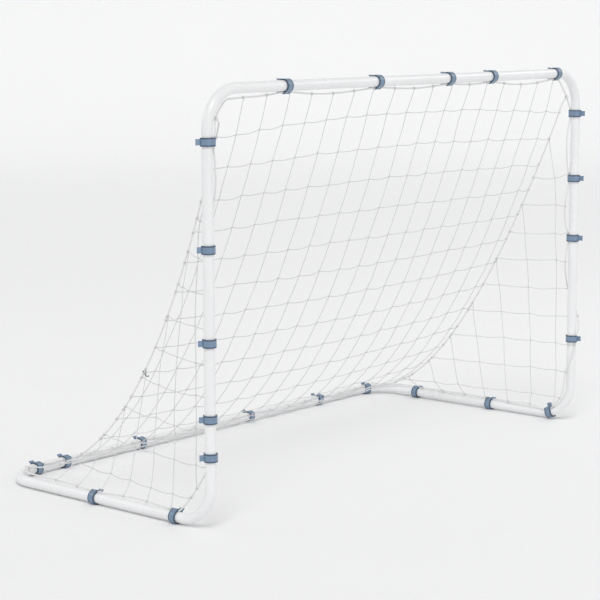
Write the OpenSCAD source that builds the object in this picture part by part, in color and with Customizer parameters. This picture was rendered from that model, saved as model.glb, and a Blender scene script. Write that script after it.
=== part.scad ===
// Portable steel-tube sports goal with a hung net, in millimetres.
// X runs from the left post to the right post, Y from the posts to the rear bar, Z up.
// The origin is on the ground, midway between the posts, in the posts' centre plane.

/* [Opening] */
// Clear width between the two posts
opening_w = 1829; // [1400:1:2400]
// Clear height from the ground to the underside of the crossbar
opening_h = 1219; // [950:1:1800]
// Depth from the posts' centre plane to the rear bar's centre line
depth = 883; // [700:1:1400]

/* [Tube] */
// Outside diameter of the tube
tube_d = 31.8; // [25:0.1:45]
// Wall thickness of the tube
tube_wall = 1.2; // [0.8:0.1:2]
// Bend radius of the six corners, to the tube's centre line
bend_r = 115; // [70:1:180]
// Straight length of a corner between its bend and the next tube
corner_leg = 30; // [15:1:60]
// Length of the swaged end that slides into the next tube
spigot_len = 60; // [45:1:90]
// Radial clearance between a swaged end and the tube around it
spigot_clear = 0.2; // [0.1:0.05:0.5]

/* [Snap buttons] */
// Diameter of a snap button
button_d = 6.4; // [4:0.1:8]
// How far a button stands out of the tube at rest
button_out = 2.8; // [1.5:0.1:4]
// Radial clearance between a button and its holes
button_clear = 0.2; // [0.1:0.05:0.5]
// Distance from the end of the outer tube to the button's centre
button_setback = 25; // [12:1:40]
// Thickness of the leaf spring's strip
leaf_t = 0.9; // [0.5:0.1:1.5]
// Width of the leaf spring's strip
leaf_w = 8; // [5:0.5:12]
// Length of the leaf spring, from the button to its bend
leaf_len = 38; // [25:1:60]

/* [Net clips] */
// Width of a clip along the tube
clip_w = 24; // [12:1:40]
// Wall thickness of a clip's band
clip_wall = 3.2; // [2:0.1:5]
// Radial gap between a clip's band and the tube, which its ribs bridge
clip_gap = 1.2; // [0.6:0.1:2]
// Angle left open at a clip's mouth, in degrees
clip_mouth = 68; // [40:1:90]
// How far the two lips stand out of the band
lip_reach = 13; // [6:0.5:20]
// Width of a lip along the tube
lip_w = 17; // [8:0.5:30]
// Thickness of a lip
lip_t = 2.6; // [1.5:0.1:4]
// Wall around the cord in a clip's pocket
pocket_wall = 2.4; // [1.5:0.1:4]

/* [Cords and net] */
// Diameter of the border cord
cord_d = 5; // [3:0.1:8]
// Clearance between the border cord and the tube or a clip's pocket
cord_clear = 0.35; // [0.3:0.05:1]
// Diameter of the two seam cords
seam_d = 4.5; // [3:0.1:8]
// Thickness of the net panels
net_t = 2.4; // [1.5:0.1:5]
// How far the seams are pulled in from the posts' centre lines at mid height
seam_inset = 104; // [60:1:140]
// How sharply the seams sag, as the exponent of their curve
seam_sag = 2.1; // [1.5:0.05:3]

/* [S-hook] */
// Wire diameter of the S-hook
hook_wire = 3; // [2:0.1:4]
// Radius of the S-hook's two loops, to the wire's centre line
hook_r = 5.8; // [5:0.1:9]
// Share of the seam's height at which the S-hook hangs
hook_height = 0.323; // [0.2:0.005:0.8]

/* [Hidden] */
$fn = 64;

tube_r = tube_d / 2;
bore_r = tube_r - tube_wall;
spigot_r = bore_r - spigot_clear;
spigot_bore_r = spigot_r - tube_wall;
cord_r = cord_d / 2;
seam_r = seam_d / 2;

// A clip's band and pocket, seen along the tube
band_in_r = tube_r + clip_gap;
band_out_r = band_in_r + clip_wall;
pocket_at = tube_r + cord_clear + cord_r;
pocket_in_r = cord_r + cord_clear;
pocket_out_r = pocket_in_r + pocket_wall;
lip_out_r = band_out_r + lip_reach;
rib_angles = [62, 118, 174];
rib_w = 4;
rib_t = 2;
rib_clear = 0.05;
lip_angle = clip_mouth / 2 + 2;
lip_tip = lip_out_r - lip_t / 2;

// The frame stands on the clips of its ground bars, on a band or on a lower lip
base_z = max(band_out_r, lip_tip * sin(lip_angle) + lip_t / 2);
top_z = opening_h + tube_r;
half_w = opening_w / 2 + tube_r;
post_len = top_z - base_z;

// Each bar runs between two sharp corners: start, direction, length, the direction of
// angle 0 and of angle 90 round it, and which way it bends at its start and at its end
X = [1, 0, 0];
Y = [0, 1, 0];
Z = [0, 0, 1];
POST_LEFT = [[-half_w, 0, base_z], Z, post_len, X, Y, Y, X];
POST_RIGHT = [[half_w, 0, base_z], Z, post_len, X, Y, Y, -X];
CROSSBAR = [[-half_w, 0, top_z], X, 2 * half_w, Y, Z, -Z, -Z];
SIDE_LEFT = [[-half_w, 0, base_z], Y, depth, -X, Z, Z, X];
SIDE_RIGHT = [[half_w, 0, base_z], Y, depth, -X, Z, Z, -X];
REAR_BAR = [[-half_w, depth, base_z], X, 2 * half_w, Y, Z, -Y, -Y];

function run(bar) = bar[2] - 2 * bend_r;

// A vector across the bar, turned with the tube through a bend by an angle
function turned(v, n, e, a) = v + (v * n) * (n * (cos(a) - 1) - e * sin(a));

// Frame [place, angle 0, angle 90, along] at a share of the bar's straight run.
// A share under 0 or over 1 is on the bend before or after it.
function spot(bar, share) =
  let (e = bar[1], over = max(0, share - 1, -share) * run(bar), a = over / bend_r * 180 / PI,
       n = share > 1 ? bar[6] : bar[5], d = share > 1 ? e : -e,
       straight = bar[0] + e * (bend_r + min(1, max(0, share)) * run(bar)))
  over == 0
    ? [straight, bar[3], bar[4], e]
    : [straight + d * bend_r * sin(a) + n * bend_r * (1 - cos(a)),
       turned(bar[3], n, d, a), turned(bar[4], n, d, a),
       e * cos(a) + (share > 1 ? n : -n) * sin(a)];

module at_spot(f) {
  multmatrix([
    [f[1][0], f[2][0], f[3][0], f[0][0]],
    [f[1][1], f[2][1], f[3][1], f[0][1]],
    [f[1][2], f[2][2], f[3][2], f[0][2]],
    [0, 0, 0, 1]
  ]) children();
}

// The border cord's stops along each bar: share of the straight run, angle of the cord
// round the bar, and its stand-off from the clips' line. A fourth number makes the stop
// a clip and gives the angle of its mouth.
POST_LEFT_STOPS = [
  [0.08, 36, 0, 116], [0.135, 40, 4], [0.19, 36, 0, 116], [0.30, 40, 7],
  [0.408, 36, 0, 116], [0.54, 40, 9], [0.672, 36, 0, 116], [0.76, 16, 7],
  [0.86, -10, 9], [0.972, -50, 0, 116], [1.0, -36, 4], [1.05, -12, 5], [1.11, -8, 5]
];
CROSSBAR_STOPS = [
  [-0.028, -88, 6], [0.02, -92, 9], [0.075, -92, 6], [0.13, -90, 0, 0], [0.20, -92, 8],
  [0.26, -90, 10], [0.33, -90, 5], [0.388, -90, 0, 0], [0.45, -92, 5], [0.52, -90, 7],
  [0.612, -90, 0, 0], [0.68, -92, 4], [0.756, -90, 0, 0], [0.82, -90, 9], [0.88, -92, 12],
  [0.94, -90, 7], [0.99, -90, 0, 0]
];
POST_RIGHT_STOPS = [
  [-0.10, 138, 7], [-0.05, 146, 9], [0.0, 155, 10], [0.05, 170, 9], [0.09, 200, 7],
  [0.125, 235, 4], [0.169, 260, 0, -35], [0.20, 290, 5], [0.25, 340, 7], [0.30, 30, 7], [0.36, 80, 6],
  [0.43, 140, 9], [0.48, 150, 8], [0.532, 130, 0, -35], [0.58, 150, 12], [0.64, 155, 18],
  [0.70, 150, 8], [0.745, 130, 0, -35], [0.79, 150, 9], [0.86, 160, 17], [0.92, 150, 9],
  [0.974, 130, 0, -35]
];
SIDE_LEFT_STOPS = [
  [0.038, 90, 0, 180], [0.16, 92, 3], [0.30, 98, 6], [0.43, 94, 3],
  [0.55, 90, 0, 180], [0.70, 96, 4], [0.85, 104, 6], [0.96, 112, 6], [1.06, 120, 7]
];
SIDE_RIGHT_STOPS = [
  [-0.051, 45, 0, 135], [0.02, 52, 9], [0.10, 60, 12], [0.18, 58, 8], [0.27, 75, 3],
  [0.352, 90, 0, 180], [0.48, 80, 4], [0.62, 66, 6], [0.75, 78, 3],
  [0.867, 90, 0, 180], [0.93, 70, 6], [1.02, 50, 8]
];
REAR_BAR_STOPS = [
  [0.01, 140, 0, 0], [0.045, 146, 3], [0.083, 140, 0, 0], [0.15, 152, 5], [0.22, 150, 6],
  [0.291, 140, 0, 0], [0.37, 154, 6], [0.46, 150, 8], [0.54, 152, 5], [0.623, 140, 0, 0],
  [0.70, 152, 7], [0.78, 150, 5], [0.858, 140, 0, 0], [0.91, 152, 5], [0.97, 146, 5],
  [1.029, 140, 0, 0]
];

// ---- Tubes ----

module straight_tube(from, to) {
  translate([0, 0, from]) difference() {
    cylinder(r = tube_r, h = to - from);
    translate([0, 0, -1]) cylinder(r = bore_r, h = to - from + 2);
  }
}

// A swaged end beyond a place along its tube, on a short neck that joins the tube's wall
neck_len = 3;
module spigot(from) {
  translate([0, 0, from - neck_len]) difference() {
    cylinder(r = bore_r + 0.01, h = neck_len);
    translate([0, 0, -1]) cylinder(r = spigot_bore_r, h = neck_len + 2);
  }
  translate([0, 0, from]) difference() {
    cylinder(r = spigot_r, h = spigot_len);
    translate([0, 0, -1]) cylinder(r = spigot_bore_r, h = spigot_len + 2);
  }
}

module button_hole(at) {
  translate([0, 0, at]) rotate([0, 90, 0]) cylinder(r = button_d / 2 + button_clear, h = tube_d);
}

// A bar between two places along its run, which slides over the swaged ends at both.
// button_angle turns its button holes round it.
module bar_tube(bar, button_angle, from, to) {
  at_spot(spot(bar, 0)) rotate([0, 0, button_angle]) difference() {
    straight_tube(from, to);
    button_hole(from + button_setback);
    button_hole(to - button_setback);
  }
}

// The first half of a two-piece bar, with the swaged end that joins the halves
module bar_half(bar) {
  half = run(bar) / 2;
  at_spot(spot(bar, 0)) difference() {
    union() {
      straight_tube(corner_leg, half);
      spigot(half);
    }
    button_hole(corner_leg + button_setback);
    button_hole(half + button_setback);
  }
}

// One leg of a corner, along +Z from the end of the bend, with its swaged end
module corner_end() {
  difference() {
    union() {
      straight_tube(0, corner_leg);
      spigot(corner_leg);
    }
    button_hole(corner_leg + button_setback);
  }
}

// A corner between two bars that leave the sharp corner along_a and along_b, and the
// way that the button in each leg faces
module corner(at, along_a, along_b, button_a, button_b) {
  c = at + along_a * bend_r + along_b * bend_r;
  n = cross(along_a, along_b);
  color("white") union() {
    at_spot([c, -along_a, -along_b, n]) rotate_extrude(angle = 90, $fn = 96)
      translate([bend_r, 0]) difference() {
        circle(r = tube_r);
        circle(r = bore_r);
      }
    at_spot([at + along_a * bend_r, button_a, cross(along_a, button_a), along_a]) corner_end();
    at_spot([at + along_b * bend_r, button_b, cross(along_b, button_b), along_b]) corner_end();
  }
}

module corner_top_left() {
  corner([-half_w, 0, top_z], X, -Z, Y, Y);
}
module corner_top_right() {
  corner([half_w, 0, top_z], -X, -Z, Y, Y);
}
module corner_front_left() {
  corner([-half_w, 0, base_z], Z, Y, Y, X);
}
module corner_front_right() {
  corner([half_w, 0, base_z], Z, Y, Y, X);
}
module corner_rear_left() {
  corner([-half_w, depth, base_z], -Y, X, X, Y);
}
module corner_rear_right() {
  corner([half_w, depth, base_z], -Y, -X, X, Y);
}

// The buttons face the back of the posts, crossbar and rear bar, and +X on the side bars
module crossbar_left() {
  color("white") bar_half(CROSSBAR);
}
module crossbar_right() {
  color("white") bar_tube(CROSSBAR, 0, run(CROSSBAR) / 2, run(CROSSBAR) - corner_leg);
}
module rear_bar_left() {
  color("white") bar_half(REAR_BAR);
}
module rear_bar_right() {
  color("white") bar_tube(REAR_BAR, 0, run(REAR_BAR) / 2, run(REAR_BAR) - corner_leg);
}
module post_left() {
  color("white") bar_tube(POST_LEFT, 90, corner_leg, run(POST_LEFT) - corner_leg);
}
module post_right() {
  color("white") bar_tube(POST_RIGHT, 90, corner_leg, run(POST_RIGHT) - corner_leg);
}
module side_bar_left() {
  color("white") bar_tube(SIDE_LEFT, 180, corner_leg, run(SIDE_LEFT) - corner_leg);
}
module side_bar_right() {
  color("white") bar_tube(SIDE_RIGHT, 180, corner_leg, run(SIDE_RIGHT) - corner_leg);
}

// ---- Snap buttons and their leaf springs ----

// A button's frame: its centre on the tube's axis, the button's direction, and the
// direction towards the bend of its spring
function button_spot(bar, from_start, toward_start) =
  let (f = spot(bar, 0), out = bar == SIDE_LEFT || bar == SIDE_RIGHT ? X : Y,
       e = toward_start ? -bar[1] : bar[1])
  [f[0] + bar[1] * from_start, out, cross(e, out), e];
function near_start(bar) = button_spot(bar, corner_leg + button_setback, true);
function near_end(bar) = button_spot(bar, run(bar) - corner_leg - button_setback, false);
function in_middle(bar) = button_spot(bar, run(bar) / 2 + button_setback, true);

flange_r = 5;
flange_t = 1.2;
flange_clear = 0.3;
flange_top = sqrt(pow(spigot_bore_r, 2) - pow(flange_r, 2)) - flange_clear;
button_over = 0.4;
button_travel = button_out + tube_wall + button_over;
button_chamfer = 0.9;
button_root = 0.5;
leg_clear = 0.1;
leg_x = -sqrt(pow(spigot_bore_r, 2) - pow(leaf_w / 2, 2)) + leg_clear;
leg_tail = 6;
leg_bend = 4;
arm_tail = 4;
arm_end_gap = 6;
arm_x = flange_top - flange_t - leaf_t;
arm_gap = 0.6;
leaf_top = arm_x - button_travel - arm_gap;

module button_on(f) {
  color("silver") at_spot(f) {
    rotate([0, 90, 0]) {
      translate([0, 0, flange_top - button_root]) cylinder(r = button_d / 2,
        h = tube_r + button_out - button_chamfer - flange_top + button_root);
      translate([0, 0, tube_r + button_out - button_chamfer])
        cylinder(r1 = button_d / 2, r2 = button_d / 2 - button_chamfer, h = button_chamfer);
      translate([0, 0, flange_top - flange_t]) cylinder(r = flange_r, h = flange_t);
    }
    translate([arm_x, -leaf_w / 2, -arm_tail])
      cube([leaf_t + 0.01, leaf_w, arm_tail + leaf_len - arm_end_gap]);
  }
}

module leaf_on(f) {
  color("gray") at_spot(f) {
    translate([leg_x, -leaf_w / 2, -leg_tail]) cube([leaf_t, leaf_w, leaf_len + leg_tail - leg_bend]);
    translate([leg_x + leg_bend, leaf_w / 2, leaf_len - leg_bend])
      rotate([90, 0, 0]) rotate([0, 0, 90]) rotate_extrude(angle = 90)
        translate([leg_bend - leaf_t, 0]) square([leaf_t, leaf_w]);
    translate([leg_x + leg_bend, -leaf_w / 2, leaf_len - leaf_t])
      cube([leaf_top - leg_x - leg_bend, leaf_w, leaf_t]);
  }
}

module button_crossbar_middle() { button_on(in_middle(CROSSBAR)); }
module button_crossbar_left() { button_on(near_start(CROSSBAR)); }
module button_crossbar_right() { button_on(near_end(CROSSBAR)); }
module button_post_left_top() { button_on(near_end(POST_LEFT)); }
module button_post_right_top() { button_on(near_end(POST_RIGHT)); }
module button_post_left_foot() { button_on(near_start(POST_LEFT)); }
module button_post_right_foot() { button_on(near_start(POST_RIGHT)); }
module button_side_left_front() { button_on(near_start(SIDE_LEFT)); }
module button_side_right_front() { button_on(near_start(SIDE_RIGHT)); }
module button_side_left_rear() { button_on(near_end(SIDE_LEFT)); }
module button_side_right_rear() { button_on(near_end(SIDE_RIGHT)); }
module button_rear_left() { button_on(near_start(REAR_BAR)); }
module button_rear_right() { button_on(near_end(REAR_BAR)); }
module button_rear_middle() { button_on(in_middle(REAR_BAR)); }

module spring_crossbar_middle() { leaf_on(in_middle(CROSSBAR)); }
module spring_crossbar_left() { leaf_on(near_start(CROSSBAR)); }
module spring_crossbar_right() { leaf_on(near_end(CROSSBAR)); }
module spring_post_left_top() { leaf_on(near_end(POST_LEFT)); }
module spring_post_right_top() { leaf_on(near_end(POST_RIGHT)); }
module spring_post_left_foot() { leaf_on(near_start(POST_LEFT)); }
module spring_post_right_foot() { leaf_on(near_start(POST_RIGHT)); }
module spring_side_left_front() { leaf_on(near_start(SIDE_LEFT)); }
module spring_side_right_front() { leaf_on(near_start(SIDE_RIGHT)); }
module spring_side_left_rear() { leaf_on(near_end(SIDE_LEFT)); }
module spring_side_right_rear() { leaf_on(near_end(SIDE_RIGHT)); }
module spring_rear_left() { leaf_on(near_start(REAR_BAR)); }
module spring_rear_right() { leaf_on(near_end(REAR_BAR)); }
module spring_rear_middle() { leaf_on(in_middle(REAR_BAR)); }

// ---- Net clips ----

// A clip's band and cord pocket seen along the tube, with its mouth towards +X
module clip_outline(pocket) {
  reach = 2 * lip_out_r;
  half = clip_mouth / 2;
  difference() {
    union() {
      difference() {
        circle(r = band_out_r);
        polygon([[0, 0], reach * [cos(half), sin(half)], reach * [cos(half), -sin(half)]]);
      }
      rotate(pocket) translate([pocket_at, 0]) circle(r = pocket_out_r);
    }
    circle(r = band_in_r);
    rotate(pocket) translate([pocket_at, 0]) circle(r = pocket_in_r);
  }
}

// Three short ribs grip the tube across the gap left for the net
module clip_ribs(pocket) {
  side = pocket > 0 ? -1 : 1;
  for (a = rib_angles) rotate([0, 0, side * a]) difference() {
    translate([0, -rib_t / 2, -rib_w / 2]) cube([band_in_r + clip_wall / 2, rib_t, rib_w]);
    cylinder(r = tube_r + rib_clear, h = rib_w + 2, center = true);
  }
}

// A lip flares from each end of the band, and ends in a round bead
module clip_lips() {
  root = band_in_r + clip_wall / 2;
  for (side = [-1, 1]) rotate([0, 0, side * lip_angle]) {
    translate([root, -lip_t / 2, -lip_w / 2]) cube([lip_tip - root, lip_t, lip_w]);
    translate([lip_tip, 0, 0]) cylinder(r = lip_t / 2, h = lip_w, center = true, $fn = 32);
  }
}

module clip(pocket) {
  linear_extrude(clip_w, center = true) clip_outline(pocket);
  clip_ribs(pocket);
  clip_lips();
}

module clips_on(bar, stops) {
  color("lightsteelblue") for (s = stops) if (len(s) == 4)
    at_spot(spot(bar, s[0])) rotate([0, 0, s[3]]) clip((s[1] - s[3] + 540) % 360 - 180);
}

module clips_crossbar() { clips_on(CROSSBAR, CROSSBAR_STOPS); }
module clips_post_left() { clips_on(POST_LEFT, POST_LEFT_STOPS); }
module clips_post_right() { clips_on(POST_RIGHT, POST_RIGHT_STOPS); }
module clips_side_left() { clips_on(SIDE_LEFT, SIDE_LEFT_STOPS); }
module clips_side_right() { clips_on(SIDE_RIGHT, SIDE_RIGHT_STOPS); }
module clips_rear_bar() { clips_on(REAR_BAR, REAR_BAR_STOPS); }

// ---- Cords ----

function reversed(v) = [for (i = [len(v) - 1:-1:0]) v[i]];
function unit(v) = v / norm(v);

// Carries each ring's start direction along the route, so that the tube never twists
function carried(route, tangents, i, a) =
  let (flat = unit(a - (a * tangents[i]) * tangents[i]))
  i == len(route) - 1 ? [flat] : concat([flat], carried(route, tangents, i + 1, flat));

// A closed or open tube along points, with a ring of sides at each
module cord(route, r, sides, closed) {
  last = len(route) - 1;
  tangents = [for (i = [0:last])
    unit(closed ? route[(i + 1) % (last + 1)] - route[(i + last) % (last + 1)]
                : route[min(i + 1, last)] - route[max(i - 1, 0)])];
  start = unit(cross(tangents[0], abs(tangents[0][2]) > 0.9 ? X : Z));
  across = carried(route, tangents, 0, start);
  points = [for (i = [0:last], k = [0:sides - 1])
    let (b = cross(tangents[i], across[i]))
    route[i] + r * (across[i] * cos(360 * k / sides) + b * sin(360 * k / sides))];
  // On a closed loop the last ring meets the first at the nearest side
  home = unit(across[last] - (across[last] * tangents[0]) * tangents[0]);
  twist = round(atan2(home * cross(tangents[0], across[0]), home * across[0]) / 360 * sides);
  walls = [for (i = [0:closed ? last : last - 1], k = [0:sides - 1])
    let (j = (i + 1) % (last + 1), s = i == last ? twist : 0,
         a = i * sides + k, b = i * sides + (k + 1) % sides,
         c = j * sides + (k + 1 + s + sides) % sides, d = j * sides + (k + s + sides) % sides)
    each [[a, b, c], [a, c, d]]];
  ends = closed ? [] : [[for (k = [0:sides - 1]) sides - 1 - k],
                        [for (k = [0:sides - 1]) last * sides + k]];
  polyhedron(points, concat([for (w = walls) reversed(w)], [for (e = ends) reversed(e)]));
}

// Points of the border cord along one bar: two past a clip's ends, one elsewhere. A
// thicker cord runs straight for longer past the clip.
cord_lead = cord_d / 5;
function stop_points(bar, stops) = [for (s = stops)
  let (f = spot(bar, s[0]), d = pocket_at + s[2],
       p = f[0] + d * (f[1] * cos(s[1]) + f[2] * sin(s[1])), e = f[3] * (clip_w / 2 + cord_lead))
  each len(s) == 4 ? [p - e, p + e] : [p]];

border_route = concat(
  stop_points(POST_LEFT, POST_LEFT_STOPS),
  stop_points(CROSSBAR, CROSSBAR_STOPS),
  reversed(stop_points(POST_RIGHT, POST_RIGHT_STOPS)),
  stop_points(SIDE_RIGHT, SIDE_RIGHT_STOPS),
  reversed(stop_points(REAR_BAR, REAR_BAR_STOPS)),
  reversed(stop_points(SIDE_LEFT, SIDE_LEFT_STOPS))
);

module border_cord() {
  color("white") cord(border_route, cord_r, 8, true);
}

// The seam where the back and side nets meet, from share 0 at the top corner to 1 at the
// rear corner. It hangs in a deep curve and is pulled in towards the middle of the goal.
seam_drop = 98;
seam_lift = 8;
seam_front = 12;
seam_rear = 30;
seam_end_inset = 60;
seam_top = top_z - seam_drop;
seam_end = base_z + tube_r + seam_lift;
seam_back = depth - seam_rear;
function seam_z(v) = seam_end + (seam_top - seam_end) * pow(1 - v, seam_sag);
function seam_y(v) = seam_front + (seam_back - seam_front) * v;
function seam_x(v) = half_w - seam_end_inset - (seam_inset - seam_end_inset) * 4 * v * (1 - v);
function seam_point(side, v) = [side * seam_x(v), seam_y(v), seam_z(v)];

module seam_cord(side) {
  steps = 32;
  color("white") cord([for (i = [0:steps]) seam_point(side, i / steps)], seam_r, 8, false);
}
module seam_cord_left() { seam_cord(-1); }
module seam_cord_right() { seam_cord(1); }

// ---- Net panels ----

// A thin closed sheet over a grid of points, each with its own normal
module sheet(grid, normals) {
  rows = len(grid);
  cols = len(grid[0]);
  size = rows * cols;
  points = concat(
    [for (i = [0:rows - 1], j = [0:cols - 1]) grid[i][j] + normals[i][j] * net_t / 2],
    [for (i = [0:rows - 1], j = [0:cols - 1]) grid[i][j] - normals[i][j] * net_t / 2]);
  faces = [for (i = [0:rows - 2], j = [0:cols - 2])
    let (a = i * cols + j, b = a + 1, c = a + cols + 1, d = a + cols)
    each [[a, b, c], [a, c, d], [size + a, size + c, size + b], [size + a, size + d, size + c]]];
  rim = concat([for (j = [0:cols - 1]) j], [for (i = [1:rows - 1]) i * cols + cols - 1],
               [for (j = [cols - 2:-1:0]) (rows - 1) * cols + j],
               [for (i = [rows - 2:-1:1]) i * cols]);
  sides = [for (k = [0:len(rim) - 1]) let (a = rim[k], b = rim[(k + 1) % len(rim)])
    each [[a, size + a, size + b], [a, size + b, b]]];
  polyhedron(points, concat(faces, sides));
}

// The back net hangs between the seams, a little lower in the middle
net_clear = 12;
net_front = 14;
hem_clear = 8;
hem_curve = 6;
back_sag = 26;
function back_point(u, v) =
  let (x = seam_x(v) - seam_r - net_clear, s = 1 - u * u,
       top = top_z - pocket_at - cord_r - hem_clear, lift = s * pow(1 - v, hem_curve),
       y = seam_y(v) + (net_front - seam_front) * lift,
       z = seam_z(v) + (top - seam_top) * lift - back_sag * s * sin(180 * v))
  [u * x, y, max(z, seam_end)];
module net_back() {
  rows = 16;
  cols = 8;
  grid = [for (i = [0:rows]) [for (j = [0:cols]) back_point(2 * j / cols - 1, i / rows)]];
  normals = [for (i = [0:rows]) [for (j = [0:cols])
    let (d = grid[min(i + 1, rows)][j] - grid[max(i - 1, 0)][j]) unit(cross(unit(d), X))]];
  color("whitesmoke") sheet(grid, [for (r = normals) [for (n = r) -n]]);
}

// A side net is ruled level by level from behind its post to a line inside its seam. Its
// lower front corner is cut off, where the border cord runs straight across the corner.
side_front = 38;
side_clear = 26;
side_cut_depth = 32;
side_cut_rise = 52;
side_cut_y = bend_r + side_cut_depth;
side_cut_z = bend_r + side_cut_rise;
side_first = 0.085;
side_last = 0.8;
side_curve = 1.5;
function side_edge(side, v) =
  let (t = unit(seam_point(side, v + 0.01) - seam_point(side, v - 0.01)))
  seam_point(side, v) + side_clear * unit([0, t[2], -t[1]]);
function side_point(side, u, v) =
  let (e = side_edge(side, v),
       front = max(side_front, side_cut_y * (1 - (e[2] - base_z - tube_r) / side_cut_z)))
  [side * (half_w - (half_w - seam_x(v)) * pow(u, side_curve)), front + (e[1] - front) * u, e[2]];
module net_side(side) {
  rows = 14;
  cols = 7;
  grid = [for (i = [0:rows]) [for (j = [0:cols])
    side_point(side, j / cols, side_first + (side_last - side_first) * i / rows)]];
  color("whitesmoke") sheet(grid, [for (r = grid) [for (p = r) side * X]]);
}
module net_side_left() { net_side(-1); }
module net_side_right() { net_side(1); }

// ---- S-hook ----

// The hook hangs on the left seam cord, across it, with its upper loop resting on the cord
hook_rest = 0.3;
hook_drop = hook_r - hook_wire / 2 - seam_r - hook_rest;
hook_v = 1 - pow(hook_height, 1 / seam_sag);
hook_along = unit(seam_point(-1, hook_v + 0.01) - seam_point(-1, hook_v - 0.01));
hook_down = unit((Z * hook_along) * hook_along - Z);
hook_across = cross(hook_along, hook_down);

module hook_loop() {
  rotate_extrude(angle = 225) translate([hook_r, 0]) circle(r = hook_wire / 2, $fn = 32);
}
module s_hook() {
  color("dimgray")
    at_spot([seam_point(-1, hook_v) + hook_drop * hook_down, hook_across, hook_down, -hook_along]) {
      rotate([0, 0, 90]) hook_loop();
      translate([0, 2 * hook_r, 0]) rotate([0, 0, -90]) hook_loop();
    }
}

crossbar_left();
crossbar_right();
corner_top_left();
corner_top_right();
post_left();
post_right();
corner_front_left();
corner_front_right();
side_bar_left();
side_bar_right();
corner_rear_left();
corner_rear_right();
rear_bar_left();
rear_bar_right();
button_crossbar_middle();
button_crossbar_left();
button_crossbar_right();
button_post_left_top();
button_post_right_top();
button_post_left_foot();
button_post_right_foot();
button_side_left_front();
button_side_right_front();
button_side_left_rear();
button_side_right_rear();
button_rear_left();
button_rear_right();
button_rear_middle();
spring_crossbar_middle();
spring_crossbar_left();
spring_crossbar_right();
spring_post_left_top();
spring_post_right_top();
spring_post_left_foot();
spring_post_right_foot();
spring_side_left_front();
spring_side_right_front();
spring_side_left_rear();
spring_side_right_rear();
spring_rear_left();
spring_rear_right();
spring_rear_middle();
clips_crossbar();
clips_post_left();
clips_post_right();
clips_side_left();
clips_side_right();
clips_rear_bar();
net_back();
net_side_left();
net_side_right();
border_cord();
seam_cord_left();
seam_cord_right();
s_hook();
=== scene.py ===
"""Net, cords, finishes and studio stage of a portable sports goal, around its packed frame.

Everything is in metres. X runs from the left post to the right post, Y from the posts to
the rear bar and Z up, with the origin on the ground midway between the posts.
"""

import math

import bpy
import numpy as np
from bpy.props import FloatProperty, FloatVectorProperty, IntProperty, PointerProperty
from mathutils import Matrix, Vector


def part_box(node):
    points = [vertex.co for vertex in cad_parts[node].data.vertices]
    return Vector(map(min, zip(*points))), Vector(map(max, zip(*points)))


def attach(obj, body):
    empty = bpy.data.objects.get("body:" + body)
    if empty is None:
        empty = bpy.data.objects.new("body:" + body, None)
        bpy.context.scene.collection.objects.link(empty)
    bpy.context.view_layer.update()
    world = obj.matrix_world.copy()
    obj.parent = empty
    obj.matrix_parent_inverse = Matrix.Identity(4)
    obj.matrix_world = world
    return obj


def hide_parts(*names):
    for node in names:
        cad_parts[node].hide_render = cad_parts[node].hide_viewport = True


bl_info = {
    "name": "Portable sports goal",
    "version": (1, 0, 0),
    "blender": (4, 5, 0),
    "location": "3D View > Sidebar > Goal",
    "description": "Builds the net, cords, finishes and stage of a steel-tube goal",
    "category": "Object",
}

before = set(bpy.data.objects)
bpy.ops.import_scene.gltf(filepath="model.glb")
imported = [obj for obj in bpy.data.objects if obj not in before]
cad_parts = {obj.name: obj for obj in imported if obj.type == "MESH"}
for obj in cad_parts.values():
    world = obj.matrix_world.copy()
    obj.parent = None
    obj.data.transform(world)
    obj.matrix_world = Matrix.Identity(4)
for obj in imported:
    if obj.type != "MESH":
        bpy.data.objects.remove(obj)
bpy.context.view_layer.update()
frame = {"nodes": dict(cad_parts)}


# ---- The frame's own sizes ----

def middle(node):
    """The middle of a CAD node's box."""
    low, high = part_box(node)
    return (low + high) / 2


def width(node):
    """How far a CAD node reaches along X."""
    low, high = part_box(node)
    return high.x - low.x


X = Vector((1, 0, 0))
Y = Vector((0, 1, 0))
Z = Vector((0, 0, 1))
TUBE_R = width("post_left") / 2
HALF_W = -middle("post_left").x
TOP_Z = middle("crossbar_left").z
BASE_Z = middle("side_bar_left").z
DEPTH = middle("rear_bar_left").y
BEND_R = 0.115

# The cord lies against the tube in each clip's pocket
CLIP_W = 0.024
CORD_CLEAR = 0.00035


class Bar:
    """A bar between two sharp corners, with the directions of angle 0 and 90 round it and
    the ways that it bends at its start and at its end."""

    def __init__(self, start, along, length, angle0, angle90, bend_start, bend_end):
        self.start = Vector(start)
        self.along = along
        self.run = length - 2 * BEND_R
        self.across = (angle0, angle90)
        self.bends = (bend_start, bend_end)

    def spot(self, share):
        """(place, angle 0, angle 90, along) at a share of the straight run; a share under 0
        or over 1 is on the bend before or after it."""
        past = max(0, share - 1, -share) * self.run
        straight = self.start + self.along * (BEND_R + min(1, max(0, share)) * self.run)
        if past == 0:
            return straight, *self.across, self.along
        ahead = 1 if share > 1 else -1
        turn = past / BEND_R
        inward = self.bends[share > 1]
        out = self.along * ahead
        place = straight + BEND_R * (out * math.sin(turn) + inward * (1 - math.cos(turn)))
        across = [
            v + v.dot(inward) * (inward * (math.cos(turn) - 1) - out * math.sin(turn))
            for v in self.across
        ]
        along = self.along * math.cos(turn) + inward * ahead * math.sin(turn)
        return place, *across, along


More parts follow.
